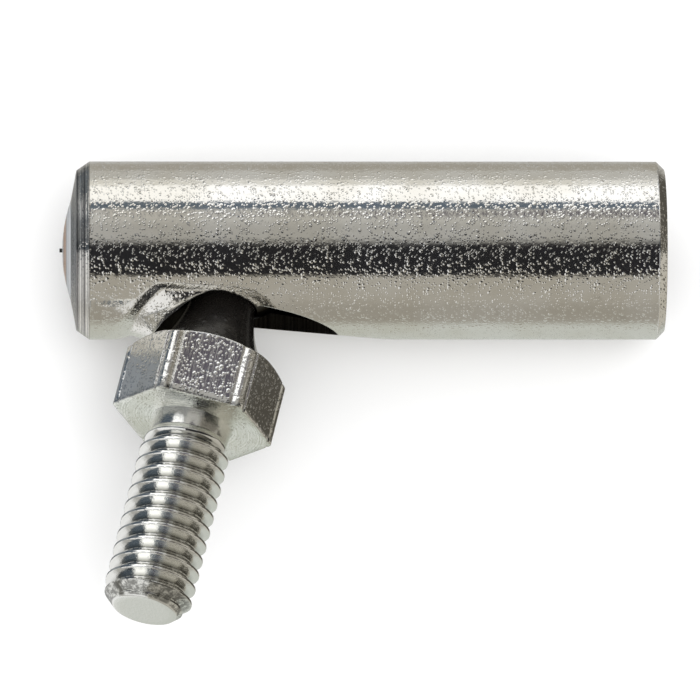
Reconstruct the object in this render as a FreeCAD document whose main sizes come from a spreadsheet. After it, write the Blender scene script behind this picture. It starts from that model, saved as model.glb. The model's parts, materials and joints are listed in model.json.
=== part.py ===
"""Right-angle ball joint rod end: a round steel housing with a tapped end, and a ball stud out of its side.

Millimetres, +Z up. The origin is the centre of the tapped end face and +X leaves the tapped mouth along
the housing's axis. The side opening faces -Y. The ball stud is stored leaning in its opening.
"""

import FreeCAD, Part
import Sketcher
import math
import os

os.makedirs("parts", exist_ok=True)
doc = FreeCAD.newDocument("rod_end")
sheet = doc.addObject("Spreadsheet::Sheet", "Sheet")

DRIVING = {
    # housing
    "body_dia": 15.875,
    "body_length": 52.4,
    "end_chamfer": 0.7,
    "crimp_length": 1.15,
    "crimp_drop": 0.8,
    "lip_rise": 0.5,
    "lip_bore_dia": 9.0,
    "lip_seat_depth": 0.5,
    "cavity_dia": 12.8,
    "cavity_end": 29.5,
    # tapped hole, 5/16-18
    "pitch": 1.411,
    "tap_drill_dia": 6.53,
    "tap_major_dia": 8.0,
    "tap_drill_depth": 25.4,
    "drill_point": 1.9,
    "mouth_countersink": 0.45,
    "tap_turns": 14,
    "tap_first": 1.3,
    # side opening
    "ball_setback": 38.1,
    "opening_shift": 1.8,
    "opening_dia": 11.7,
    "notch_dia": 7.5,
    "notch_tilt": 32,
    "swage_radius": 190,
    "swage_depth": 0.8,
    "funnel_start": 6.75,
    "funnel_dia": 17.2,
    # seats
    "ball_dia": 12.7,
    "cup_clearance": 0.03,
    "seat_dia": 12.6,
    "seat_front": 5.3,
    "seat_land_dia": 8.0,
    "seat_shoulder": 7.6,
    "seat_back": 8.55,
    "seat_bore_dia": 3.2,
    # spring
    "spring_wire": 1.2,
    "spring_mean_dia": 9.4,
    "spring_pitch": 1.55,
    # end plug
    "plug_thickness": 1.5,
    "dome_height": 0.76,
    "boss_clearance": 0.02,
    "pip_dia": 0.36,
    "pip_height": 0.25,
    # ball stud
    "hex_flats": 12.7,
    "hex_start": 11.3,
    "hex_height": 6.3,
    "hex_bevel_dia": 12.2,
    "hex_bevel_angle": 30,
    "neck_top_dia": 10.2,
    "neck_foot_dia": 5.8,
    "neck_foot": 4.95,
    "neck_waist_dia": 7.1,
    "neck_waist": 8.2,
    "shank_dia": 4.8,
    "fit_gap": 0.04,
    "ball_pocket_dia": 6.3,
    "rivet_start": 4.6,
    "rivet_end": 5.4,
    "relief_dia": 6.8,
    "relief_length": 2.3,
    "stud_length": 18.45,
    "thread_major_dia": 7.94,
    "thread_root_dia": 6.3,
    "thread_turns": 11,
    "thread_first": 0.95,
    "tip_dia": 5.7,
    "lean_along": 13.4,
    "lean_across": 10.2,
    "hex_clocking": -6.1,
    # how far a cutter reaches past the surface it cuts
    "overcut": 0.01,
}

for row, (name, value) in enumerate(DRIVING.items(), start=1):
    sheet.set(f"A{row}", name)
    sheet.set(f"B{row}", str(value))
    sheet.setAlias(f"B{row}", name)
doc.recompute()

AXIS_X = FreeCAD.Vector(1, 0, 0)
AXIS_Z = FreeCAD.Vector(0, 0, 1)
ALONG_X = FreeCAD.Rotation(FreeCAD.Vector(0, 1, 0), 90)


def size(name):
    """One driving dimension, read from the sheet."""
    return float(sheet.get(name))


def cell(expression):
    """An expression in which each driving dimension's name is bound to its cell."""
    words = []
    word = ""
    for letter in expression + " ":
        if letter.isalnum() or letter == "_":
            word += letter
            continue
        words.append("Sheet." + word if word in DRIVING else word)
        words.append(letter)
        word = ""
    return "".join(words).strip()


def new_body(name):
    body = doc.addObject("PartDesign::Body", name)
    body.Label = name
    return body


def origin_plane(body, role):
    return next(item for item in body.Origin.OriginFeatures if item.Role == role)


def sketch_on(body, name, role):
    sketch = body.newObject("Sketcher::SketchObject", name)
    sketch.AttachmentSupport = [(origin_plane(body, role), "")]
    sketch.MapMode = "FlatFace"
    return sketch


def bind_point(sketch, line, along, across, start):
    """Tie the start of a line to the two driving expressions, measured from the sketch's origin."""
    for kind, expression, value in (("DistanceX", along, start.x), ("DistanceY", across, start.y)):
        if expression == "0":
            axis = -2 if kind == "DistanceX" else -1
            sketch.addConstraint(Sketcher.Constraint("PointOnObject", line, 1, axis))
            continue
        index = sketch.addConstraint(Sketcher.Constraint(kind, -1, 1, line, 1, value))
        sketch.setExpression(f"Constraints[{index}]", cell(expression))


def value_of(expression):
    """The number an expression gives with the sheet's values."""
    return float(sheet.evalExpression(cell(expression)))


def outline(sketch, corners):
    """Draw a closed outline of straight sides through corners given as pairs of expressions."""
    places = [FreeCAD.Vector(value_of(along), value_of(across), 0) for along, across in corners]
    count = len(places)
    for index, place in enumerate(places):
        sketch.addGeometry(Part.LineSegment(place, places[(index + 1) % count]), False)
    for index in range(count):
        sketch.addConstraint(Sketcher.Constraint("Coincident", index, 2, (index + 1) % count, 1))
    for index, (along, across) in enumerate(corners):
        bind_point(sketch, index, along, across, places[index])
    return sketch


def turned(body, kind, name, sketch, axis):
    """A full turn of a sketch about one of its own axes, added or cut."""
    feature = body.newObject(f"PartDesign::{kind}", name)
    feature.Profile = sketch
    feature.ReferenceAxis = (sketch, [axis])
    feature.Angle = 360
    sketch.Visibility = False
    return feature


def row_of(body, name, feature, sketch, axis, count, spacing, backwards):
    """Repeat a feature along a sketch axis at an even spacing."""
    pattern = body.newObject("PartDesign::LinearPattern", name)
    pattern.Originals = [feature]
    pattern.Direction = (sketch, [axis])
    pattern.Reversed = backwards
    pattern.setExpression("Occurrences", cell(count))
    pattern.setExpression("Length", cell(f"({count} - 1) * {spacing}"))
    body.Tip = pattern
    return pattern


def primitive(body, kind, name, sizes, placement):
    """A PartDesign primitive with its sizes bound to the sheet."""
    feature = body.newObject(f"PartDesign::{kind}", name)
    for key, expression in sizes.items():
        feature.setExpression(key, cell(expression))
    feature.Placement = placement
    return feature


def stock(kind, name, sizes):
    """A Part primitive with its sizes bound to the sheet."""
    item = doc.addObject(f"Part::{kind}", name)
    for key, expression in sizes.items():
        item.setExpression(key, cell(expression))
    return item


def joined(kind, name, items):
    """A Part boolean of several objects."""
    result = doc.addObject(f"Part::{kind}", name)
    result.Shapes = items
    return result


def labelled(item, label):
    item.Label = label
    doc.recompute()
    return item


def ball_centre():
    return FreeCAD.Vector(-size("ball_setback"), 0, 0)


def opening_axis(tilt):
    """The rotation that points +Z out of the side opening, swung towards the tapped end by tilt degrees."""
    swing = FreeCAD.Rotation(AXIS_Z, tilt)
    return swing * FreeCAD.Rotation(AXIS_X, 90)


def housing():
    """The turned steel shell: tapped from the +X end, bored for the ball from the other, rolled over there."""
    body = new_body("housing")
    profile = sketch_on(body, "housing_profile", "XY_Plane")
    rim = "-body_length"
    outline(
        profile,
        [
            ("0", "tap_drill_dia / 2 + mouth_countersink"),
            ("0", "body_dia / 2 - end_chamfer"),
            ("-end_chamfer", "body_dia / 2"),
            (f"{rim} + crimp_length", "body_dia / 2"),
            (rim, "body_dia / 2 - crimp_drop"),
            (f"{rim} - lip_rise", "lip_bore_dia / 2"),
            (f"{rim} + lip_seat_depth", "lip_bore_dia / 2"),
            (f"{rim} + lip_seat_depth", "cavity_dia / 2"),
            ("-cavity_end", "cavity_dia / 2"),
            ("-cavity_end", "0"),
            ("-tap_drill_depth - drill_point", "0"),
            ("-tap_drill_depth", "tap_drill_dia / 2"),
            ("-mouth_countersink", "tap_drill_dia / 2"),
        ],
    )
    turned(body, "Revolution", "housing_turning", profile, "H_Axis")

    groove = sketch_on(body, "tap_groove_profile", "XY_Plane")
    mouth_half = "0.375 * pitch"
    root_half = "0.07 * pitch"
    outline(
        groove,
        [
            (f"-tap_first - {mouth_half}", "tap_drill_dia / 2 - overcut"),
            (f"-tap_first + {mouth_half}", "tap_drill_dia / 2 - overcut"),
            (f"-tap_first + {root_half}", "tap_major_dia / 2"),
            (f"-tap_first - {root_half}", "tap_major_dia / 2"),
        ],
    )
    first = turned(body, "Groove", "tap_groove", groove, "H_Axis")
    doc.recompute()
    row_of(body, "tap_thread", first, groove, "H_Axis", "tap_turns", "pitch", True)
    doc.recompute()

    side = ball_centre() - FreeCAD.Vector(size("opening_shift"), 0, 0)
    primitive(
        body,
        "SubtractiveCylinder",
        "side_opening",
        {"Radius": "opening_dia / 2", "Height": "body_dia"},
        FreeCAD.Placement(side, opening_axis(0)),
    )
    primitive(
        body,
        "SubtractiveCylinder",
        "swing_notch",
        {"Radius": "notch_dia / 2", "Height": "body_dia"},
        FreeCAD.Placement(ball_centre(), opening_axis(size("notch_tilt"))),
    )
    out = size("body_dia") / 2 - size("swage_depth") + size("swage_radius")
    primitive(
        body,
        "SubtractiveSphere",
        "swage_flat",
        {"Radius": "swage_radius"},
        FreeCAD.Placement(side - FreeCAD.Vector(0, out, 0), FreeCAD.Rotation()),
    )
    doc.recompute()
    primitive(
        body,
        "SubtractiveCone",
        "swage_funnel",
        {
            "Radius1": "opening_dia / 2",
            "Radius2": "funnel_dia - opening_dia / 2",
            "Height": "body_dia - 2 * funnel_start",
        },
        FreeCAD.Placement(side - FreeCAD.Vector(0, size("funnel_start"), 0), opening_axis(0)),
    )
    doc.recompute()
    return body


def end_plug():
    """The domed plug that the rolled lip holds in, with a turning pip at its centre."""
    outer = "(body_length + lip_rise)"
    seat = "(body_length - lip_seat_depth)"
    flange = stock("Cylinder", "plug_flange", {"Radius": "cavity_dia / 2", "Height": "plug_thickness"})
    flange.setExpression("Placement.Base.x", cell(f"-{seat}"))
    flange.Placement.Rotation = ALONG_X
    boss_reach = f"{outer} + dome_height - {seat} + plug_thickness / 2"
    boss_radius = "(lip_bore_dia / 2 - boss_clearance)"
    boss = stock("Cylinder", "plug_boss", {"Radius": boss_radius, "Height": boss_reach})
    boss.setExpression("Placement.Base.x", cell(f"-{outer} - dome_height"))
    boss.Placement.Rotation = ALONG_X
    crown_radius = f"(({boss_radius} ^ 2 + dome_height ^ 2) / (2 * dome_height))"
    crown = stock("Sphere", "plug_crown", {"Radius": crown_radius})
    crown.setExpression("Placement.Base.x", cell(f"{crown_radius} - dome_height - {outer}"))
    dome = joined("MultiCommon", "plug_dome", [boss, crown])
    pip = stock("Cylinder", "plug_pip", {"Radius": "pip_dia / 2", "Height": "pip_height + dome_height"})
    pip.setExpression("Placement.Base.x", cell(f"-{outer} - dome_height - pip_height"))
    pip.Placement.Rotation = ALONG_X
    return labelled(joined("MultiFuse", "plug_whole", [flange, dome, pip]), "end_plug")


def seat(name, turn):
    """A hardened ring with a shallow cup for the ball, tapered at the front to clear the neck."""
    body = new_body(name)
    profile = sketch_on(body, f"{name}_profile", "XY_Plane")
    outline(
        profile,
        [
            ("seat_front", "seat_bore_dia / 2"),
            ("seat_back", "seat_bore_dia / 2"),
            ("seat_back", "seat_dia / 2"),
            ("seat_shoulder", "seat_dia / 2"),
            ("seat_front", "seat_land_dia / 2"),
        ],
    )
    turned(body, "Revolution", f"{name}_turning", profile, "H_Axis")
    primitive(
        body,
        "SubtractiveSphere",
        f"{name}_cup",
        {"Radius": "ball_dia / 2 + cup_clearance"},
        FreeCAD.Placement(),
    )
    body.Placement = FreeCAD.Placement(ball_centre(), FreeCAD.Rotation(AXIS_Z, turn))
    doc.recompute()
    return body


def spring():
    """The short stiff coil between the end plug and the sprung seat, with both ends ground flat."""
    plug_face = "(-body_length + lip_seat_depth + plug_thickness)"
    seat_face = "(-ball_setback - seat_back)"
    room = f"({seat_face} - {plug_face})"
    coil = stock(
        "Helix",
        "spring_line",
        {"Radius": "spring_mean_dia / 2", "Pitch": "spring_pitch", "Height": f"{room} - spring_wire * 0.5"},
    )
    coil.setExpression("Placement.Base.x", cell(f"{plug_face} + spring_wire * 0.25"))
    coil.Placement.Rotation = ALONG_X
    wire = stock("Circle", "spring_section", {"Radius": "spring_wire / 2"})
    start = FreeCAD.Vector(size("spring_mean_dia") / 2, 0, 0)
    rise = math.degrees(math.atan(size("spring_pitch") / (math.pi * size("spring_mean_dia"))))
    across = FreeCAD.Rotation(AXIS_X, 90 + rise)
    doc.recompute()
    wire.Placement = coil.Placement.multiply(FreeCAD.Placement(start, across))
    swept = doc.addObject("Part::Sweep", "spring_sweep")
    swept.Sections = [wire]
    swept.Spine = (coil, [])
    swept.Solid = True
    swept.Frenet = True
    slab = stock("Cylinder", "spring_slab", {"Radius": "cavity_dia / 2", "Height": room})
    slab.setExpression("Placement.Base.x", cell(plug_face))
    slab.Placement.Rotation = ALONG_X
    return labelled(joined("MultiCommon", "spring_ground", [swept, slab]), "spring")


def stud_pose():
    """The stored pose of the ball stud: its own +Z runs from the ball to the threaded tip."""
    across = FreeCAD.Rotation(AXIS_X, -size("lean_across"))
    return FreeCAD.Placement(ball_centre(), across * opening_axis(-size("lean_along")))


def ball():
    """The hardened bearing ball: drilled through, pocketed for the neck and countersunk for the rivet head."""
    body = new_body("ball")
    primitive(body, "AdditiveSphere", "ball_blank", {"Radius": "ball_dia / 2"}, FreeCAD.Placement())
    bore = sketch_on(body, "ball_bore_profile", "XZ_Plane")
    outline(
        bore,
        [
            ("0", "-ball_dia"),
            ("shank_dia / 2 + ball_dia - rivet_start", "-ball_dia"),
            ("shank_dia / 2", "-rivet_start"),
            ("shank_dia / 2", "neck_foot - fit_gap"),
            ("ball_pocket_dia / 2", "neck_foot - fit_gap"),
            ("ball_pocket_dia / 2", "ball_dia"),
            ("0", "ball_dia"),
        ],
    )
    turned(body, "Groove", "ball_bore", bore, "V_Axis")
    body.Placement = stud_pose()
    doc.recompute()
    return body


def stud():
    """The headed stud: rivet head and shank in the ball, flared neck, hexagon and a 5/16-18 thread."""
    body = new_body("stud")
    hexagon = primitive(
        body,
        "AdditivePrism",
        "hexagon",
        {"Circumradius": "hex_flats / sqrt(3)", "Height": "hex_height"},
        FreeCAD.Placement(
            FreeCAD.Vector(0, 0, size("hex_start")),
            FreeCAD.Rotation(AXIS_Z, size("hex_clocking")),
        ),
    )
    hexagon.Polygon = 6
    bevel = sketch_on(body, "hex_bevel_profile", "XZ_Plane")
    corner = "(hex_flats / sqrt(3) + overcut)"
    drop = f"({corner} - hex_bevel_dia / 2) * tan(hex_bevel_angle)"
    outline(
        bevel,
        [
            ("hex_bevel_dia / 2", "hex_start - overcut"),
            (corner, "hex_start - overcut"),
            (corner, f"hex_start + {drop}"),
        ],
    )
    turned(body, "Groove", "hex_bevel", bevel, "V_Axis")

    shank = sketch_on(body, "shank_profile", "XZ_Plane")
    hex_end = "hex_start + hex_height"
    inside_hex = f"{hex_end} - relief_length / 3"
    tip = f"{hex_end} + stud_length"
    point = "(thread_major_dia - tip_dia) / 2"
    shank_radius = "shank_dia / 2 - fit_gap"
    outline(
        shank,
        [
            ("0", "-rivet_end"),
            (f"{shank_radius} + rivet_end - rivet_start - fit_gap", "-rivet_end"),
            (shank_radius, "-rivet_start - fit_gap"),
            (shank_radius, "neck_foot"),
            ("neck_foot_dia / 2", "neck_foot"),
            ("neck_waist_dia / 2", "neck_waist"),
            ("neck_top_dia / 2", "hex_start"),
            ("neck_top_dia / 2", inside_hex),
            ("relief_dia / 2", inside_hex),
            ("relief_dia / 2", f"{hex_end} + relief_length"),
            ("thread_major_dia / 2", f"{hex_end} + relief_length + {point} / 2"),
            ("thread_major_dia / 2", f"{tip} - {point}"),
            ("tip_dia / 2", tip),
            ("0", tip),
        ],
    )
    turned(body, "Revolution", "shank", shank, "V_Axis")

    groove = sketch_on(body, "thread_groove_profile", "XZ_Plane")
    middle = f"{hex_end} + relief_length + thread_first"
    mouth_half = "0.4375 * pitch"
    root_half = "0.1 * pitch"
    outline(
        groove,
        [
            ("thread_major_dia / 2 + overcut", f"{middle} - {mouth_half}"),
            ("thread_major_dia / 2 + overcut", f"{middle} + {mouth_half}"),
            ("thread_root_dia / 2", f"{middle} + {root_half}"),
            ("thread_root_dia / 2", f"{middle} - {root_half}"),
        ],
    )
    first = turned(body, "Groove", "thread_groove", groove, "V_Axis")
    doc.recompute()
    row_of(body, "stud_thread", first, groove, "V_Axis", "thread_turns", "pitch", False)
    body.Placement = stud_pose()
    doc.recompute()
    return body


def check_everything(parts):
    """Stop if any object of the document failed, or if a piece is empty or not a valid solid."""
    doc.recompute()
    failed = [item.Name for item in doc.Objects if "Invalid" in item.State or "Error" in item.State]
    if failed:
        raise RuntimeError(f"failed objects: {failed}")
    for part in parts:
        if part.Shape.isNull() or not part.Shape.isValid() or len(part.Shape.Solids) != 1:
            raise RuntimeError(f"{part.Label} is not one valid solid")


def main():
    parts = [
        housing(),
        end_plug(),
        spring(),
        seat("sprung_seat", 180),
        seat("inner_seat", 0),
        ball(),
        stud(),
    ]
    check_everything(parts)
    for part in parts:
        part.Shape.exportStep(f"parts/{part.Label}.step")
        print(part.Label, round(part.Shape.Volume, 1), part.Shape.BoundBox)


main()
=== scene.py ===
"""The right-angle ball joint rod end in bright zinc plate, on a pale floor under soft studio light.

Metres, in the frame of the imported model: the housing lies along X with its tapped mouth at the origin, its
side opening faces -Y and +Z is up. Sizes below that end in _MM are millimetres.
"""

import json
import math

import bpy
from mathutils import Matrix, Vector


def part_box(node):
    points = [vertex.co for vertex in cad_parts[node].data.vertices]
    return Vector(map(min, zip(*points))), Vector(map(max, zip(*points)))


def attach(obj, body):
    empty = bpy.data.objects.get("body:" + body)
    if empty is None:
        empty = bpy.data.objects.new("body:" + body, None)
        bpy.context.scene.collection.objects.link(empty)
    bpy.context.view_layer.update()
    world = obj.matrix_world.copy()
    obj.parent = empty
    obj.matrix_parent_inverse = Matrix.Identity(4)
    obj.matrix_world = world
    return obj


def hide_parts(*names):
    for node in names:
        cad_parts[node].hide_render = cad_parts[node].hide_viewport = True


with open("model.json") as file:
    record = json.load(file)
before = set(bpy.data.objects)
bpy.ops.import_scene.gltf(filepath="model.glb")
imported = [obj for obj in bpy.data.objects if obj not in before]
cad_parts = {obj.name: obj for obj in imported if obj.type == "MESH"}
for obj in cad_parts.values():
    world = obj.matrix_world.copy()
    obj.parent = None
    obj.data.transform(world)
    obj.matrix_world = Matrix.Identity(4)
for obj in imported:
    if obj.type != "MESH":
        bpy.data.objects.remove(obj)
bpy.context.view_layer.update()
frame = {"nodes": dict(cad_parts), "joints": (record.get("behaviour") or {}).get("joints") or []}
JOINTS = {joint["name"]: joint for joint in frame["joints"]}
MM = 0.001

# where things are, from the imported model
BALL_CENTRE = Vector(JOINTS["ball_swing"]["pos_m"])
STUD_AXIS = Vector(JOINTS["stud_spin"]["axis"]).normalized()
SWING_AXIS = Vector(JOINTS["ball_swing"]["axis"]).normalized()
HOUSING_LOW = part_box("housing")[0]

# ball stud, distances along its axis from the ball's centre
RIVET_END_MM = -5.4
RIVET_CONE_MM = -4.64
NECK_FOOT_MM = 4.95
HEX_START_MM = 11.3
HEX_BEVEL_LENGTH_MM = 0.78
HEX_END_MM = 17.6
RELIEF_END_MM = 19.9
THREAD_FULL_MM = 20.5
TIP_CHAMFER_MM = 34.93
TIP_MM = 36.05
TIP_FACE_RISE_MM = 0.015
# ball stud, across its axis
NECK_FOOT_RADIUS_MM = 2.9
NECK_TOP_RADIUS_MM = 5.1
NECK_HOLLOWNESS = 1.8
RIVET_RADIUS_MM = 2.36
RIVET_END_RADIUS_MM = 3.08
RELIEF_RADIUS_MM = 3.4
RELIEF_SWELL_MM = 0.2
MAJOR_RADIUS_MM = 3.97
MINOR_RADIUS_MM = 3.12
TIP_RADIUS_MM = 2.85
PITCH_MM = 1.411
ROOT_SHARE = 0.13
FLANK_SHARE = 0.72
HEX_APOTHEM_MM = 6.35
HEX_CORNER_RADIUS_MM = 0.7
HEX_BEVEL_RADIUS_MM = 6.1
HEX_EDGE_BREAK_MM = 0.04
HEX_CLOCKING = math.radians(-6.1)

# housing, from the rolled lip to the tapped mouth
BODY_LENGTH_MM = 52.4
SHELL_RADIUS_MM = 7.9375
BORE_RADIUS_MM = 6.4
BORE_END_MM = -29.5
LIP_BACK_MM = -51.9
LIP_FRONT_MM = -52.9
LIP_BORE_RADIUS_MM = 4.5
LIP_ROUND_RADIUS_MM = 7.1375
LIP_ROUND_END_MM = -51.25
MOUTH_CHAMFER_MM = 0.7
TAP_RADIUS_MM = 4.02
TAP_END_MM = -25.4
TAP_POINT_MM = -27.3
PASSAGE_RADIUS_MM = 0.4
# the pressed part of the shell has closer rings than the plain part
PRESSED_END_MM = -26.0

# side opening
OPENING_X_MM = -39.9
OPENING_RADIUS_MM = 5.85
NOTCH_HALF_WIDTH_MM = 4.75
NOTCH_REACH_MM = 9.0
CUTTER_ENDS_MM = (-3.0, -12.0)
# The crescent pressed round the plug's side of the opening, and the crease outside it.
CRESCENT_WIDTH_MM = 1.9
CRESCENT_RISE_MM = 0.62
CREASE_DEPTH_MM = 0.34
CREASE_WALL_MM = 1.2
# The crease's outer wall is wider than that by up to this much, straight towards the plug.
CREASE_WALL_MORE_MM = 0.8
CREASE_WIDE_PART = 0.55
# How far round towards the plug the crescent starts, and how soon it is at its full size.
CRESCENT_START = 0.1
CRESCENT_GROWTH = 0.5
LEAST_GROWTH = 0.02
BENT_EDGE_MM = 0.06
BENT_EDGE_WIDTH_MM = 1.2
# The rim is also pressed flat on its lower side, where the metal faces UNDERSIDE_TURN below -Y.
UNDERSIDE_TURN = math.radians(15)
UNDERSIDE_X_MM = -38.0
UNDERSIDE_REACH_MM = 6.75
UNDERSIDE_SLOPE_TO_MOUTH = 0.089
UNDERSIDE_SLOPE_TO_PLUG = 0.16
UNDERSIDE_BLEND_MM = 0.1


# ---------------------------------------------------------------------------------------------- camera


def make_camera():
    """A long lens, square to the housing's plugged end and looking steeply down on the opening's side."""
    elevation = math.radians(75)
    up = Vector((0, math.sin(elevation), math.cos(elevation)))
    back = Vector((0, -math.cos(elevation), math.sin(elevation)))
    frame_width = 62.44 * MM
    middle_x = -28.0 * MM
    below_axis = 8.87 * MM
    distance = 1.034
    target = Vector((middle_x, 0, 0)) - up * below_axis
    station = Vector((-BODY_LENGTH_MM * MM, 0, 0)) - up * below_axis + back * distance
    data = bpy.data.cameras.new("camera")
    data.sensor_width = 36
    data.lens = data.sensor_width * (target - station).length / frame_width
    data.clip_start = 0.05
    data.clip_end = 20
    camera = bpy.data.objects.new("camera", data)
    bpy.context.scene.collection.objects.link(camera)
    looking = (target - station).normalized()
    side = looking.cross(up).normalized()
    rotation = Matrix((side, side.cross(looking), -looking)).transposed()
    camera.matrix_world = Matrix.Translation(station) @ rotation.to_4x4()
    bpy.context.scene.camera = camera


# ---------------------------------------------------------------------------------------------- nodes


class Nodes:
    """A short way to build a node tree: each call adds a node and links or sets what it is given."""

    def __init__(self, tree):
        self.tree = tree
        tree.nodes.clear()

    def add(self, kind, settings=None, **inputs):
        node = self.tree.nodes.new(kind)
        for key, value in (settings or {}).items():
            setattr(node, key, value)
        for name, value in inputs.items():
            by_index = name[0] == "i" and name[1:].isdigit()
            socket = node.inputs[int(name[1:])] if by_index else node.inputs[name.replace("_", " ")]
            if isinstance(value, bpy.types.NodeSocket):
                self.tree.links.new(value, socket)
            else:
                socket.default_value = value
        return node

    def math(self, operation, first, second=0.0, third=0.0):
        settings = {"operation": operation}
        return self.add("ShaderNodeMath", settings, i0=first, i1=second, i2=third).outputs[0]

    def vector(self, operation, first, second):
        node = self.add("ShaderNodeVectorMath", {"operation": operation}, i0=first, i1=second)
        return node.outputs["Value" if operation == "DOT_PRODUCT" else "Vector"]

    def split(self, vector):
        return self.add("ShaderNodeSeparateXYZ", {}, Vector=vector).outputs

    def join(self, x, y, z):
        return self.add("ShaderNodeCombineXYZ", {}, X=x, Y=y, Z=z).outputs[0]

    def radius(self, first, second):
        """The distance from an axis, from the two coordinates across it."""
        squares = [self.math("MULTIPLY", part, part) for part in (first, second)]
        return self.math("SQRT", self.math("ADD", squares[0], squares[1]))

    def along(self, value):
        """A place that changes only with one value, for noise in lines or rings."""
        return self.join(value, 0.0, 0.0)

    def step(self, value, start, end):
        """0 before start and 1 after end, smooth between."""
        settings = {"interpolation_type": "SMOOTHSTEP"}
        return self.add("ShaderNodeMapRange", settings, i0=value, i1=start, i2=end).outputs[0]

    def scaled(self, value, low, high):
        """A value of 0 to 1 carried to low to high."""
        return self.add("ShaderNodeMapRange", {}, i0=value, i1=0.0, i2=1.0, i3=low, i4=high).outputs[0]

    def mix(self, factor, first, second):
        def full(colour):
            return (*colour, 1) if isinstance(colour, tuple) and len(colour) == 3 else colour

        settings = {"data_type": "RGBA"}
        return self.add("ShaderNodeMix", settings, i0=factor, i6=full(first), i7=full(second)).outputs[2]

    def noise(self, place, size_mm, detail=2.0, roughness=0.5):
        inputs = {"Vector": place, "Scale": 1 / (size_mm * MM), "Detail": detail, "Roughness": roughness}
        return self.add("ShaderNodeTexNoise", {}, **inputs).outputs[0]

    def ramp(self, factor, stops):
        """A colour that eases from one (position, colour) stop to the next."""
        node = self.add("ShaderNodeValToRGB", {}, Fac=factor)
        ramp = node.color_ramp
        ramp.interpolation = "EASE"
        while len(ramp.elements) < len(stops):
            ramp.elements.new(0.5)
        for element, (position, _) in zip(ramp.elements, stops):
            element.position = position
        for element, (_, colour) in zip(ramp.elements, stops):
            element.color = (*colour, 1)
        return node.outputs["Color"]

    def bump(self, height, depth_mm, normal=None):
        inputs = {"Height": height, "Distance": depth_mm * MM, "Strength": 1.0}
        if normal is not None:
            inputs["Normal"] = normal
        return self.add("ShaderNodeBump", {}, **inputs).outputs[0]

    def edges(self, radius_mm):
        """The surface's direction with its sharp edges rounded over."""
        return self.add("ShaderNodeBevel", {"samples": 4}, Radius=radius_mm * MM).outputs[0]

    def plain(self, colour, rough, surface, metallic=1.0):
        """A principled shader, all metal unless told otherwise."""
        inputs = {"Base Color": colour, "Roughness": rough, "Normal": surface}
        shader = self.add("ShaderNodeBsdfPrincipled", {}, **inputs)
        shader.inputs["Metallic"].default_value = metallic
        return shader

    def finish(self, shader):
        self.add("ShaderNodeOutputMaterial", {}, Surface=shader.outputs[0])


def new_material(name):
    material = bpy.data.materials.new(name)
    material.use_nodes = True
    return material, Nodes(material.node_tree)


def object_place(n):
    return n.add("ShaderNodeTexCoord").outputs["Object"]


# ---------------------------------------------------------------------------------------------- meshes


def new_piece(name, points, faces, materials=()):
    mesh = bpy.data.meshes.new(name)
    mesh.from_pydata(points, [], faces)
    for material in materials:
        mesh.materials.append(material)
    piece = bpy.data.objects.new(name, mesh)
    bpy.context.scene.collection.objects.link(piece)
    return piece


def grid_faces(rows, columns, closed=False):
    """Quads between neighbouring rings of points. If closed, the last ring is joined to the first."""
    faces = []
    for row in range(rows if closed else rows - 1):
        here, above = row * columns, (row + 1) % rows * columns
        for column in range(columns):
            following = (column + 1) % columns
            faces.append((here + column, here + following, above + following, above + column))
    return faces


def circle_angles(count):
    return [2 * math.pi * index / count for index in range(count)]


def between(start, end, count):
    """Stations from start to end, both included, in count equal steps."""
    return [start + (end - start) * index / count for index in range(count + 1)]


def smooth(value):
    """0 up to 0 and 1 from 1 on, smooth between."""
    value = min(max(value, 0.0), 1.0)
    return value * value * (3 - 2 * value)


# ---------------------------------------------------------------------------------------------- studio


def grey(level, tint=(1, 1, 1)):
    return tuple(level * part for part in tint)


WARM = (1.0, 0.985, 0.93)
BEIGE = (1.0, 0.95, 0.84)
GREENISH = (0.97, 1.0, 0.93)
NAVY = (0.75, 0.95, 1.2)
BROWN = (1.05, 0.97, 0.82)
BLUISH = (0.93, 1.0, 1.06)
VIOLET = (0.97, 0.95, 1.1)

# The studio as reflections see it: bands round the X axis, as (start, end, colour), in degrees from -Y
# over +Z.
MIDDLE_BANDS = [
    (-180, -162, grey(0.54, WARM)),
    (-152, -135, grey(0.40, BEIGE)),
    (-125, -105, grey(0.5, WARM)),
    (-92, -45, grey(0.60, GREENISH)),
    (-26, -8, grey(0.37, BEIGE)),
    (12, 39.5, grey(0.42, BEIGE)),
    (43.5, 80, grey(0.016, VIOLET)),
    (92, 104, grey(0.43, WARM)),
    (120, 128, grey(0.56, WARM)),
    (132, 139, grey(0.16, NAVY)),
    (143, 166, grey(1.25)),
    (171, 180, grey(0.80, WARM)),
]
LEFT_BANDS = [
    (-180, -150, grey(0.10, NAVY)),
    (-132, -100, grey(0.14, BLUISH)),
    (-85, -45, grey(0.9)),
    (-25, -6, grey(0.42, WARM)),
    (2, 70, grey(0.92)),
    (76, 92, grey(0.08, NAVY)),
    (98, 122, grey(0.3)),
    (128, 144, grey(0.1, NAVY)),
    (152, 180, grey(0.12, NAVY)),
]
RIGHT_BANDS = [
    (-180, -90, grey(0.09, BROWN)),
    (-75, 30, grey(0.55, BEIGE)),
    (50, 92, grey(0.02, WARM)),
    (98, 124, grey(0.2, BROWN)),
    (130, 150, grey(0.5, BEIGE)),
    (165, 180, grey(0.3, BROWN)),
]
# How far along X a reflection points where one set of bands gives way to the next.
LEFT_START, LEFT_FULL = -0.14, -0.3
RIGHT_START, RIGHT_FULL = 0.3, 0.6
DOME_LEVEL = 1.2
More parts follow.
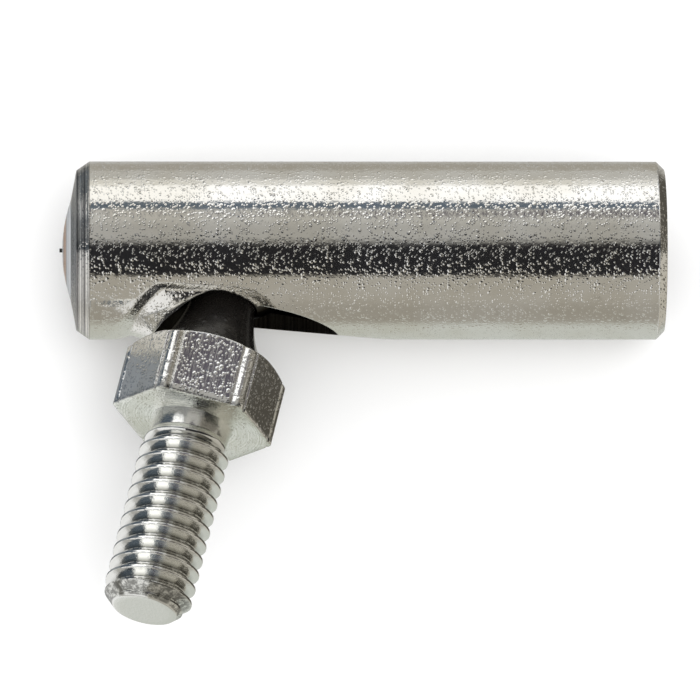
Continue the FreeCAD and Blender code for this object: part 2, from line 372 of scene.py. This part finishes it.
# Round soft cards and flags: direction, radius and softness in degrees, colour.
CARDS = [
    ((-0.42, 0.68, 0.60), 18, 6, grey(1.5)),
    ((0.19, 0.54, 0.82), 9, 4, grey(0.10, (1.05, 0.95, 1.15))),
    ((0.81, 0.13, -0.57), 22, 8, grey(0.085, BROWN)),
    ((-0.71, 0.52, -0.47), 19, 8, grey(0.29, BLUISH)),
]


def band_stops(bands):
    stops = []
    for start, end, colour in bands:
        stops.append(((start + 180) / 360, colour))
        stops.append(((end + 180) / 360, colour))
    return stops


def make_world():
    """Reflections see a studio of soft bands and cards; the camera and the floor see an even white dome."""
    world = bpy.data.worlds.new("studio")
    bpy.context.scene.world = world
    world.use_nodes = True
    n = Nodes(world.node_tree)
    direction = n.add("ShaderNodeTexCoord").outputs["Generated"]
    x, y, z = n.split(direction)
    angle = n.math("ARCTAN2", z, n.math("MULTIPLY", y, -1.0))
    turn = n.math("MULTIPLY_ADD", angle, 0.5 / math.pi, 0.5)
    colour = n.ramp(turn, band_stops(MIDDLE_BANDS))
    colour = n.mix(n.step(x, LEFT_START, LEFT_FULL), colour, n.ramp(turn, band_stops(LEFT_BANDS)))
    colour = n.mix(n.step(x, RIGHT_START, RIGHT_FULL), colour, n.ramp(turn, band_stops(RIGHT_BANDS)))
    for card, radius, softness, level in CARDS:
        aim = tuple(Vector(card).normalized())
        nearness = n.vector("DOT_PRODUCT", direction, aim)
        outer = math.cos(math.radians(radius + softness / 2))
        inner = math.cos(math.radians(radius - softness / 2))
        colour = n.mix(n.step(nearness, outer, inner), colour, level)
    glossy = n.add("ShaderNodeLightPath").outputs["Is Glossy Ray"]
    colour = n.mix(glossy, grey(DOME_LEVEL), colour)
    background = n.add("ShaderNodeBackground", {}, Color=colour, Strength=1.0)
    n.add("ShaderNodeOutputWorld", {}, Surface=background.outputs[0])


def make_floor():
    half_side = 6.0
    corners = [(x * half_side, y * half_side, 0) for x, y in ((-1, -1), (1, -1), (1, 1), (-1, 1))]
    material, n = new_material("floor_paper")
    n.finish(n.add("ShaderNodeBsdfDiffuse", {}, Color=(0.93, 0.93, 0.93, 1)))
    floor = new_piece("floor", corners, [(0, 1, 2, 3)], [material])
    floor.location = (0, 0, HOUSING_LOW.z)
    floor.visible_glossy = False


def area_light(name, place, target, size, power):
    data = bpy.data.lights.new(name, "AREA")
    data.size = size
    data.energy = power
    light = bpy.data.objects.new(name, data)
    light.location = place
    light.rotation_mode = "QUATERNION"
    light.rotation_quaternion = (Vector(target) - Vector(place)).to_track_quat("-Z", "Y")
    light.visible_glossy = False
    bpy.context.scene.collection.objects.link(light)


# ---------------------------------------------------------------------------------------------- materials


def speckle(n, place, cell_mm, share):
    """Round dimples scattered over the plate: 0 on the sound surface, up to 1 at a dimple's centre."""
    cells = n.add("ShaderNodeTexVoronoi", {"feature": "F1"}, Vector=place, Scale=1 / (cell_mm * MM))
    chosen = n.math("LESS_THAN", n.split(cells.outputs["Color"])[0], share)
    edge, bottom = 0.55, 0.1
    dimple = n.step(cells.outputs["Distance"], edge, bottom)
    return n.math("MULTIPLY", dimple, chosen)


def zinc_surface(n, place, tint, roughness, pits_mm, pit_share, peel_mm, normal=None):
    """Bright zinc over pitted steel, with dull patches and small stains."""
    patches = n.noise(place, size_mm=6.0, detail=3.0)
    stain = n.noise(place, size_mm=1.3, detail=4.0, roughness=0.6)
    dimples = speckle(n, place, cell_mm=0.36, share=pit_share * 0.5)
    fine = speckle(n, place, cell_mm=0.21, share=pit_share)
    peel = n.noise(place, size_mm=0.5)
    surface = n.bump(peel, peel_mm, normal)
    surface = n.bump(dimples, pits_mm, surface)
    surface = n.bump(fine, pits_mm * 0.65, surface)
    dulling = n.mix(n.step(patches, 0.35, 0.65), (1.0, 1.0, 1.0), (0.90, 0.885, 0.845))
    settings = {"data_type": "RGBA", "blend_type": "MULTIPLY"}
    colour = n.add("ShaderNodeMix", settings, i0=1.0, i6=tint, i7=dulling).outputs[2]
    colour = n.mix(n.scaled(n.step(stain, 0.58, 0.72), 0.0, 0.22), colour, (0.52, 0.50, 0.45))
    rough = n.scaled(stain, roughness * 0.7, roughness * 1.35)
    return n.plain(colour, rough, surface)


def shell_material():
    """The housing's plated outside, with turning lines on its chamfered and rolled ends, painted near-black
    along the lines as painted reflection.
    """
    material, n = new_material("zinc_shell")
    place = object_place(n)
    x, y, z = n.split(place)
    slope_way = n.math("ADD", x, n.radius(y, z))
    lines = n.noise(n.along(slope_way), size_mm=0.2, roughness=0.6)
    rolled = n.step(x, (LIP_ROUND_END_MM + 0.15) * MM, (LIP_ROUND_END_MM - 0.15) * MM)
    faced = n.step(x, (-MOUTH_CHAMFER_MM - 0.05) * MM, (-MOUTH_CHAMFER_MM + 0.05) * MM)
    ends = n.math("MAXIMUM", rolled, faced)
    turned = n.bump(n.math("MULTIPLY", lines, ends), 0.12, n.edges(0.12))
    # The turning lines on the ends are real; their near-black tone is painted dark reflection.
    turning_lines_painted_dark = n.math("MULTIPLY", n.step(lines, 0.46, 0.54), n.math("MULTIPLY", ends, 0.9))
    tint = n.mix(turning_lines_painted_dark, (0.86, 0.85, 0.82), (0.07, 0.065, 0.07))
    wear = {"roughness": 0.09, "pits_mm": 0.03, "pit_share": 0.5, "peel_mm": 0.012}
    n.finish(zinc_surface(n, place, tint, normal=turned, **wear))
    return material


def bore_material():
    """Machined, unplated walls of the opening, the notch and the bore, coloured near-black as painted shade.
    """
    material, n = new_material("bore_painted_shade")
    place = object_place(n)
    x, _, z = n.split(place)
    across = n.math("SUBTRACT", x, OPENING_X_MM * MM)
    arcs = n.noise(n.along(n.radius(across, z)), size_mm=0.22, detail=3.0, roughness=0.7)
    surface = n.bump(arcs, 0.05)
    # Near-black to dark grey colour: painted shade inside the opening and the bore, over the machining arcs.
    colour = n.mix(n.step(arcs, 0.35, 0.65), (0.05, 0.045, 0.04), (0.16, 0.15, 0.13))
    rough = n.scaled(n.noise(place, size_mm=0.4), 0.22, 0.4)
    n.finish(n.plain(colour, rough, surface))
    return material


def thread_steel_material():
    """The cut thread inside the tapped end: bright at the mouth and painted darker deeper in, as painted
    shade.
    """
    material, n = new_material("tapped_steel")
    place = object_place(n)
    # Painted shade: the colour darkens from the mouth into the hole.
    depth_shade = n.step(n.split(place)[0], -1.0 * MM, -12.0 * MM)
    colour = n.mix(depth_shade, (0.6, 0.59, 0.56), (0.12, 0.115, 0.105))
    surface = n.bump(n.noise(place, size_mm=0.12, detail=3.0), 0.01)
    rough = n.scaled(n.noise(place, size_mm=0.6), 0.2, 0.38)
    n.finish(n.plain(colour, rough, surface))
    return material


def plug_material():
    """The domed plug: concentric turning rings, some stained orange-brown by the passivation."""
    material, n = new_material("zinc_plug")
    place = object_place(n)
    _, y, z = n.split(place)
    radius = n.radius(y, z)
    rings = n.noise(n.along(radius), size_mm=0.16, detail=3.0, roughness=0.7)
    wide = n.noise(n.along(radius), size_mm=0.9, roughness=0.6)
    stain = n.math("MULTIPLY", n.step(radius, 1.3 * MM, 1.9 * MM), n.step(radius, 3.3 * MM, 2.7 * MM))
    stain = n.math("MULTIPLY", stain, n.scaled(n.noise(place, size_mm=1.5), 0.55, 1.0))
    colour = n.mix(n.step(wide, 0.45, 0.55), (0.86, 0.87, 0.88), (0.58, 0.60, 0.62))
    colour = n.mix(stain, colour, (0.55, 0.33, 0.19))
    centre = n.step(radius, 0.24 * MM, 0.18 * MM)
    colour = n.mix(centre, colour, (0.03, 0.03, 0.03))
    surface = n.bump(rings, 0.012)
    rough = n.scaled(rings, 0.16, 0.34)
    n.finish(n.plain(colour, rough, surface, metallic=0.45))
    return material


def stud_place(n):
    """Coordinates in the ball stud's own frame: x and y across, z along the axis from the ball's centre."""
    local = n.vector("SUBTRACT", object_place(n), tuple(BALL_CENTRE))
    axes = (SWING_AXIS.cross(STUD_AXIS), SWING_AXIS, STUD_AXIS)
    return n.join(*(n.vector("DOT_PRODUCT", local, tuple(axis)) for axis in axes))


def hex_material():
    """The hexagon: cold-drawn flats with fine lines along the bar, and turned rings on its end faces."""
    material, n = new_material("zinc_hexagon")
    place = stud_place(n)
    x, y, z = n.split(place)
    drawn_out = n.math("MULTIPLY", z, 0.03)
    drawn = n.noise(n.join(x, y, drawn_out), size_mm=0.3, detail=3.0, roughness=0.65)
    rings = n.noise(n.along(n.radius(x, y)), size_mm=0.22, detail=3.0, roughness=0.7)
    end_face = n.step(z, (HEX_END_MM - 0.05) * MM, HEX_END_MM * MM)
    lines = n.mix(end_face, drawn, n.math("MULTIPLY", rings, 2.2))
    surface = n.bump(lines, 0.035, n.edges(0.16))
    tint = n.mix(end_face, (0.86, 0.86, 0.85), (0.80, 0.82, 0.77))
    wear = {"roughness": 0.10, "pits_mm": 0.036, "pit_share": 0.5, "peel_mm": 0.01}
    n.finish(zinc_surface(n, place, tint, normal=surface, **wear))
    return material


def thread_material():
    """The rolled thread: bright crests, roots painted darker as painted shade, and a darker mottled chamfer
    at the tip.
    """
    material, n = new_material("zinc_thread")
    place = stud_place(n)
    x, y, z = n.split(place)
    # Painted shade: the thread's roots are coloured darker than its crests.
    root_shade = n.step(n.radius(x, y), (MAJOR_RADIUS_MM - 0.35) * MM, (MINOR_RADIUS_MM + 0.02) * MM)
    root_shade = n.math("MULTIPLY", root_shade, n.step(z, (TIP_CHAMFER_MM - 0.2) * MM, (TIP_CHAMFER_MM - 0.6) * MM))
    tint = n.mix(root_shade, (0.86, 0.86, 0.83), (0.55, 0.55, 0.52))
    past_thread = n.step(z, (TIP_CHAMFER_MM - 0.35) * MM, (TIP_CHAMFER_MM + 0.1) * MM)
    before_face = n.step(z, (TIP_MM - 0.02) * MM, (TIP_MM - 0.15) * MM)
    chamfer = n.math("MULTIPLY", past_thread, before_face)
    # The tip's chamfer is coloured darker, in mottled patches.
    marks = n.noise(place, size_mm=0.45, detail=3.0, roughness=0.7)
    chamfer_mottle = n.mix(n.step(marks, 0.42, 0.66), (0.17, 0.17, 0.155), (0.75, 0.75, 0.71))
    tint = n.mix(n.math("MULTIPLY", chamfer, 0.85), tint, chamfer_mottle)
    surface = n.bump(n.noise(place, size_mm=0.25, detail=3.0, roughness=0.6), 0.012)
    rough = n.scaled(n.noise(place, size_mm=1.1, detail=3.0), 0.06, 0.16)
    n.finish(n.plain(tint, rough, surface))
    return material


def neck_material():
    """The neck: its near-black colour is painted shade of the opening above it, under a glossy clear coat,
    with faint turning lines.
    """
    material, n = new_material("neck_painted_dark")
    place = stud_place(n)
    z = n.split(place)[2]
    lines = n.noise(n.along(z), size_mm=0.2, detail=3.0, roughness=0.7)
    surface = n.bump(lines, 0.008)
    surface = n.bump(speckle(n, place, cell_mm=0.5, share=0.3), 0.02, surface)
    # Near-black colour: painted shade, the dark the neck stands in under the housing.
    colour = n.mix(n.noise(place, size_mm=0.8), (0.006, 0.0055, 0.005), (0.014, 0.012, 0.010))
    rough = n.scaled(n.noise(place, size_mm=0.5), 0.2, 0.34)
    shader = n.plain(colour, rough, surface, metallic=0.0)
    shader.inputs["Specular IOR Level"].default_value = 0.9
    shader.inputs["Coat Weight"].default_value = 1.0
    shader.inputs["Coat Roughness"].default_value = 0.08
    n.finish(shader)
    return material


def inner_steel_painted_dark(name, tint, roughness, mark_mm):
    """Ground or drawn steel inside the housing, its dark colour and dark edge tint painted as the shade
    inside the housing.
    """
    material, n = new_material(name)
    place = object_place(n)
    marks = n.noise(place, size_mm=mark_mm, detail=3.0, roughness=0.7)
    mottle = n.noise(place, size_mm=2.0)
    colour = n.mix(mottle, tint, tuple(0.7 * part for part in tint))
    rough = n.scaled(mottle, roughness * 0.7, roughness * 1.3)
    shader = n.plain(colour, rough, n.bump(marks, 0.006))
    # Dark specular tint: painted shade that keeps the edges from shining.
    shader.inputs["Specular Tint"].default_value = (0.1, 0.1, 0.1, 1)
    n.finish(shader)
    return material


# ---------------------------------------------------------------------------------------------- ball stud


def hex_angles(per_side):
    """Angles round the stud, gathered near the hexagon's corners."""
    angles = []
    for side in range(6):
        middle = HEX_CLOCKING + math.radians(30 + 60 * side)
        for index in range(per_side):
            share = 2 * index / per_side - 1
            angles.append(middle + math.radians(30) * math.sin(share * math.pi / 2))
    return angles


def hex_radius(angle):
    """The hexagon's radius at an angle, with rounded corners, in millimetres."""
    from_corner = (angle - HEX_CLOCKING + math.radians(30)) % math.radians(60) - math.radians(30)
    from_middle = math.radians(30) - abs(from_corner)
    flat = HEX_APOTHEM_MM / math.cos(from_middle)
    centre = (HEX_APOTHEM_MM - HEX_CORNER_RADIUS_MM) / math.cos(math.radians(30))
    aside = centre * math.sin(from_corner)
    if abs(aside) >= HEX_CORNER_RADIUS_MM:
        return flat
    rounded = centre * math.cos(from_corner) + math.sqrt(HEX_CORNER_RADIUS_MM**2 - aside**2)
    return min(flat, rounded)


def neck_radius(station):
    """The neck swells from the ball to the hexagon in a hollow curve."""
    share = (station - NECK_FOOT_MM) / (HEX_START_MM - NECK_FOOT_MM)
    return NECK_FOOT_RADIUS_MM + (NECK_TOP_RADIUS_MM - NECK_FOOT_RADIUS_MM) * share**NECK_HOLLOWNESS


def thread_radius(station, angle):
    """A right-hand thread of 60 degrees with narrow flat crests and roots, fading out at the relief."""
    turn = (station - THREAD_FULL_MM) / PITCH_MM - angle / (2 * math.pi)
    wave = abs(2 * (turn % 1.0) - 1)
    height = min(max((wave - ROOT_SHARE) / FLANK_SHARE, 0.0), 1.0)
    rolled = MINOR_RADIUS_MM + (MAJOR_RADIUS_MM - MINOR_RADIUS_MM) * height
    runout_before, runout_length = 0.9, 1.4
    runout = smooth((station - RELIEF_END_MM + runout_before) / runout_length)
    swell = RELIEF_SWELL_MM * max(1 - (station - HEX_END_MM) / (RELIEF_END_MM - HEX_END_MM), 0.0) ** 2
    radius = RELIEF_RADIUS_MM + swell + (rolled - RELIEF_RADIUS_MM) * runout
    chamfer_lead = 0.6
    if station > TIP_CHAMFER_MM - chamfer_lead:
        share = (TIP_MM - station) / (TIP_MM - TIP_CHAMFER_MM)
        radius = min(radius, TIP_RADIUS_MM + (MAJOR_RADIUS_MM - TIP_RADIUS_MM) * share)
    return radius


def stud_rows():
    """Rings of the stud from the rivet head to the tip.

    Each is (station, radius at an angle, material index).
    """
    neck, hexagon, thread = 0, 1, 2
    rows = []

    def ring(station, radius, material):
        at_angle = radius if callable(radius) else lambda angle: radius
        rows.append((station, at_angle, material))

    ring(RIVET_END_MM, RIVET_END_RADIUS_MM, neck)
    ring(RIVET_CONE_MM, RIVET_RADIUS_MM, neck)
    ring(NECK_FOOT_MM, RIVET_RADIUS_MM, neck)
    for station in between(NECK_FOOT_MM, HEX_START_MM, 28):
        ring(station, neck_radius(station), neck)
    ring(HEX_START_MM, HEX_BEVEL_RADIUS_MM, hexagon)
    for station in between(HEX_START_MM, HEX_START_MM + HEX_BEVEL_LENGTH_MM, 13)[1:]:
        cone = HEX_BEVEL_RADIUS_MM + (station - HEX_START_MM) / math.tan(math.radians(30))
        ring(station, lambda angle, cone=cone: min(cone, hex_radius(angle)), hexagon)
    past_bevel = HEX_START_MM + HEX_BEVEL_LENGTH_MM + 0.12
    for station in between(past_bevel, HEX_END_MM - HEX_EDGE_BREAK_MM, 8):
        ring(station, hex_radius, hexagon)
    ring(HEX_END_MM, lambda angle: hex_radius(angle) - HEX_EDGE_BREAK_MM, hexagon)
    swollen = RELIEF_RADIUS_MM + RELIEF_SWELL_MM
    for share in between(0.8, 0.0, 4):
        ring(
            HEX_END_MM,
            lambda angle, share=share: swollen + (hex_radius(angle) - swollen) * share,
            hexagon,
        )
    thread_rings = 430
    for station in between(HEX_END_MM + 0.02, TIP_MM, thread_rings):
        ring(station, lambda angle, station=station: thread_radius(station, angle), thread)
    for share in between(0.96, 0.1, 4):
        ring(TIP_MM + TIP_FACE_RISE_MM, TIP_RADIUS_MM * share, thread)
    return rows


def rings_to_mesh(name, rings, materials):
    """A closed skin through rings of points with one material index each, capped at both ends."""
    count = len(rings[0][0])
    last = (len(rings) - 1) * count
    points = [point for ring, _ in rings for point in ring]
    faces = grid_faces(len(rings), count)
    indices = [index for _, index in rings[1:] for _ in range(count)]
    faces.append(tuple(reversed(range(count))))
    indices.append(rings[0][1])
    faces.append(tuple(range(last, last + count)))
    indices.append(rings[-1][1])
    piece = new_piece(name, points, faces, materials)
    piece.data.polygons.foreach_set("material_index", indices)
    piece.data.polygons.foreach_set("use_smooth", [True] * len(faces))
    piece.data.update()
    return piece


def make_stud():
    """The ball stud in one skin, turned round its own axis, with the finishes of its three parts."""
    angles = hex_angles(per_side=40)
    across = SWING_AXIS.cross(STUD_AXIS)
    rings = []
    for station, radius, material in stud_rows():
        centre = BALL_CENTRE + STUD_AXIS * station * MM
        ring = [
            centre + (across * math.cos(angle) + SWING_AXIS * math.sin(angle)) * radius(angle) * MM
            for angle in angles
        ]
        rings.append((ring, material))
    stud = rings_to_mesh("ball_stud", rings, [neck_material(), hex_material(), thread_material()])
    stud.data.set_sharp_from_angle(angle=math.radians(50))
    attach(stud, "stud")
    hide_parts("stud")


# ---------------------------------------------------------------------------------------------- housing


def softened_least(first, second, blend):
    """The lesser of two numbers, with the corner between them rounded over."""
    share = min(max(0.5 + 0.5 * (second - first) / blend, 0.0), 1.0)
    return second + (first - second) * share - blend * share * (1 - share)


def ring_press(gap, leftward, upward):
    """How far the swaging tool moved the metal, at a gap from the opening's edge, in millimetres.

    On the plugged end's side a crescent slopes up from a sunk crease to the opening's edge. On the other
    side the edge is bent inwards a little. leftward and upward say in which direction the place lies.
    """
    share = min(max((leftward - CRESCENT_START) / CRESCENT_GROWTH, LEAST_GROWTH), 1.0) ** 2
    width = CRESCENT_WIDTH_MM * share
    crease = -CREASE_DEPTH_MM * share
    crease_wall = CREASE_WALL_MM + CREASE_WALL_MORE_MM * (1 - smooth(abs(upward) / CREASE_WIDE_PART))
    if gap < width:
        return crease + CRESCENT_RISE_MM * share * (1 - max(gap, 0.0) / width)
    beyond = smooth((gap - width) / crease_wall)
    bent_edge = -BENT_EDGE_MM * (1 - share) * (1 - smooth(max(gap, 0.0) / BENT_EDGE_WIDTH_MM))
    return crease * (1 - beyond) + bent_edge


def pressed(x, angle, radius):
    """A point of the shell's outside, with the metal round the side opening pressed in, in millimetres.

    The angle runs from -Y over +Z.
    """
    aside = x - OPENING_X_MM
    facing = math.cos(angle)
    turned_away = -0.2
    if facing <= turned_away:
        return x, -radius * facing, radius * math.sin(angle)
    arc = radius * angle
    least_distance = 0.001
    distance = max(math.hypot(aside, arc), least_distance)
    half_round = radius * math.asin(OPENING_RADIUS_MM / radius)
    lengthwise = (aside / distance) ** 2
    rim = 1 / math.sqrt(lengthwise / OPENING_RADIUS_MM**2 + (1 - lengthwise) / half_round**2)
    lowered = radius + ring_press(distance - rim, -aside / distance, arc / distance)
    outward = lowered * facing
    up = lowered * math.sin(angle)
    under_y = math.cos(UNDERSIDE_TURN)
    under_z = -math.sin(UNDERSIDE_TURN)
    reach = outward * under_y + up * under_z
    slope = UNDERSIDE_SLOPE_TO_MOUTH if x > UNDERSIDE_X_MM else UNDERSIDE_SLOPE_TO_PLUG
    flattened = UNDERSIDE_REACH_MM + slope * abs(x - UNDERSIDE_X_MM)
    trimmed = softened_least(reach, flattened, UNDERSIDE_BLEND_MM)
    return x, -(outward + (trimmed - reach) * under_y), up + (trimmed - reach) * under_z


def shell_rows():
    """Rings of the shell's closed blank, from the rolled lip's bore round the outside to the tapped bore."""
    rows = [(LIP_BACK_MM, LIP_BORE_RADIUS_MM), (LIP_FRONT_MM, LIP_BORE_RADIUS_MM)]
    lip_rise = -BODY_LENGTH_MM - LIP_FRONT_MM
    lip_width = LIP_ROUND_RADIUS_MM - LIP_BORE_RADIUS_MM
    for share in between(0.0, 1.0, 5)[1:]:
        rows.append((LIP_FRONT_MM + lip_rise * share, LIP_BORE_RADIUS_MM + lip_width * share))
    round_length = LIP_ROUND_END_MM + BODY_LENGTH_MM
    round_height = SHELL_RADIUS_MM - LIP_ROUND_RADIUS_MM
    for share in between(0.0, 1.0, 4)[1:]:
        rows.append((-BODY_LENGTH_MM + round_length * share, LIP_ROUND_RADIUS_MM + round_height * share))
    close_rings, wide_rings = 150, 24
    for station in between(LIP_ROUND_END_MM, PRESSED_END_MM, close_rings)[1:]:
        rows.append((station, SHELL_RADIUS_MM))
    for station in between(PRESSED_END_MM, -MOUTH_CHAMFER_MM, wide_rings)[1:]:
        rows.append((station, SHELL_RADIUS_MM))
    rows.append((-MOUTH_CHAMFER_MM / 2, SHELL_RADIUS_MM - MOUTH_CHAMFER_MM / 2))
    face_radii = (SHELL_RADIUS_MM - MOUTH_CHAMFER_MM, 6.5, 5.0, TAP_RADIUS_MM)
    for radius in face_radii:
        rows.append((0.0, radius))
    countersink_mm = 0.45
    for station in (-countersink_mm, TAP_END_MM):
        rows.append((station, TAP_RADIUS_MM))
    for station in (TAP_POINT_MM, BORE_END_MM):
        rows.append((station, PASSAGE_RADIUS_MM))
    for station in (BORE_END_MM, LIP_BACK_MM):
        rows.append((station, BORE_RADIUS_MM))
    return rows


def make_shell_blank(materials):
    """The shell before its opening is cut, as one closed skin round the housing's axis."""
    angles = [angle - math.pi for angle in circle_angles(288)]
    points = []
    rows = shell_rows()
    slack_mm = 0.01
    for x, radius in rows:
        outside = abs(radius - SHELL_RADIUS_MM) < slack_mm
        for angle in angles:
            if outside:
                px, py, pz = pressed(x, angle, radius)
            else:
                px, py, pz = x, -radius * math.cos(angle), radius * math.sin(angle)
            points.append((px * MM, py * MM, pz * MM))
    faces = grid_faces(len(rows), len(angles), closed=True)
    facing_out = [(first, fourth, third, second) for first, second, third, fourth in faces]
    return new_piece("shell", points, facing_out, materials)


def side_cutter(name, outline):
    """A prism through the shell's -Y wall from an outline of (x, z) places in millimetres."""
    count = len(outline)
    points = [(x * MM, y * MM, z * MM) for y in CUTTER_ENDS_MM for x, z in outline]
    faces = grid_faces(2, count)
    faces.append(tuple(reversed(range(count))))
    faces.append(tuple(range(count, 2 * count)))
    return new_piece(name, points, faces)


def opening_cutter():
    """The round side opening, as a plain cutter that runs out along -Y."""
    outline = []
    for angle in circle_angles(200):
        x = OPENING_X_MM + OPENING_RADIUS_MM * math.cos(angle)
        outline.append((x, OPENING_RADIUS_MM * math.sin(angle)))
    return side_cutter("opening_cutter", outline)


def notch_cutter():
    """Half an ellipse with its long axis along the housing, which narrows towards the tapped end."""
    outline = []
    for angle in between(-math.pi / 2, math.pi / 2, 120):
        x = BALL_CENTRE.x / MM + NOTCH_REACH_MM * math.cos(angle)
        outline.append((x, NOTCH_HALF_WIDTH_MM * math.sin(angle)))
    return side_cutter("notch_cutter", outline)


def cut(target, cutter):
    """Takes the cutter's volume out of the target's mesh, and removes the cutter."""
    modifier = target.modifiers.new("cut", "BOOLEAN")
    modifier.operation = "DIFFERENCE"
    modifier.solver = "EXACT"
    modifier.object = cutter
    bpy.context.view_layer.update()
    evaluated = target.evaluated_get(bpy.context.evaluated_depsgraph_get())
    mesh = bpy.data.meshes.new_from_object(evaluated)
    target.modifiers.remove(modifier)
    target.data = mesh
    bpy.data.objects.remove(cutter)


def make_tapped_sleeve(material):
    """The skin of the tapped hole, a right-hand internal thread that starts at the countersunk mouth."""
    angles = circle_angles(144)
    stations = between(0.0, TAP_END_MM, 330)
    crest_share, flank_share = 0.14, 0.74
    root_radius, crest_radius = 3.985, 3.265
    mouth_radius, countersink_end = 3.72, -0.46
    fade_start, fade_length = 20.5, 1.5
    points = []
    for station in stations:
        for angle in angles:
            turn = station / PITCH_MM - angle / (2 * math.pi)
            wave = abs(2 * (turn % 1.0) - 1)
            height = min(max((wave - crest_share) / flank_share, 0.0), 1.0)
            radius = root_radius - (root_radius - crest_radius) * height
            if station > countersink_end:
                radius = max(radius, mouth_radius + station)
            fade = smooth((-station - fade_start) / fade_length)
            radius += (crest_radius - radius) * fade
            points.append((station * MM, radius * math.cos(angle) * MM, radius * math.sin(angle) * MM))
    faces = grid_faces(len(stations), len(angles))
    sleeve = new_piece("tapped_sleeve", points, faces, [material])
    sleeve.data.polygons.foreach_set("use_smooth", [True] * len(faces))
    return sleeve


def make_housing():
    """The shell with its opening and notch, and the threaded sleeve inside its tapped end."""
    # Faces of the opening's walls and of the bore get the painted-shade material.
    plated, painted_shade_walls = 0, 1
    shell = make_shell_blank([shell_material(), bore_material()])
    cut(shell, opening_cutter())
    cut(shell, notch_cutter())
    mesh = shell.data
    slack_mm, bore_slack_mm, end_slack_mm = 0.01, 0.05, 0.1
    notch_slack = 1.002
    for face in mesh.polygons:
        centre = face.center / MM
        from_opening = math.hypot(centre.x - OPENING_X_MM, centre.z)
        along_notch = (centre.x - BALL_CENTRE.x / MM) / NOTCH_REACH_MM
        in_notch = along_notch > 0 and math.hypot(along_notch, centre.z / NOTCH_HALF_WIDTH_MM) < notch_slack
        walled = centre.y < 0 and (from_opening < OPENING_RADIUS_MM + slack_mm or in_notch)
        between_ends = -BODY_LENGTH_MM + end_slack_mm < centre.x < -slack_mm
        inside = between_ends and math.hypot(centre.y, centre.z) < BORE_RADIUS_MM + bore_slack_mm
        face.material_index = painted_shade_walls if walled or inside else plated
        face.use_smooth = True
    mesh.set_sharp_from_angle(angle=math.radians(30))
    sleeve = make_tapped_sleeve(thread_steel_material())
    for piece in (shell, sleeve):
        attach(piece, "housing")
    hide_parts("housing")


# ---------------------------------------------------------------------------------------------- all of it


def dress_cad_nodes():
    """Give each carried-over CAD node its finish."""
    # The parts inside the housing are coloured dark as painted shade.
    seats = inner_steel_painted_dark("seat_steel", (0.12, 0.115, 0.105), roughness=0.25, mark_mm=0.3)
    finishes = {
        "end_plug": plug_material(),
        "spring": inner_steel_painted_dark("spring_steel", (0.28, 0.28, 0.28), roughness=0.3, mark_mm=0.2),
        "sprung_seat": seats,
        "inner_seat": seats,
        "ball": inner_steel_painted_dark("ball_steel", (0.09, 0.085, 0.078), roughness=0.2, mark_mm=0.6),
    }
    for name, material in finishes.items():
        mesh = frame["nodes"][name].data
        mesh.materials.clear()
        mesh.materials.append(material)


bpy.context.scene.view_settings.view_transform = "Standard"
make_camera()
make_world()
make_floor()
area_light("key", place=(0.25, -0.35, 1.1), target=(-0.03, 0, 0), size=0.9, power=4)
dress_cad_nodes()
make_housing()
make_stud()
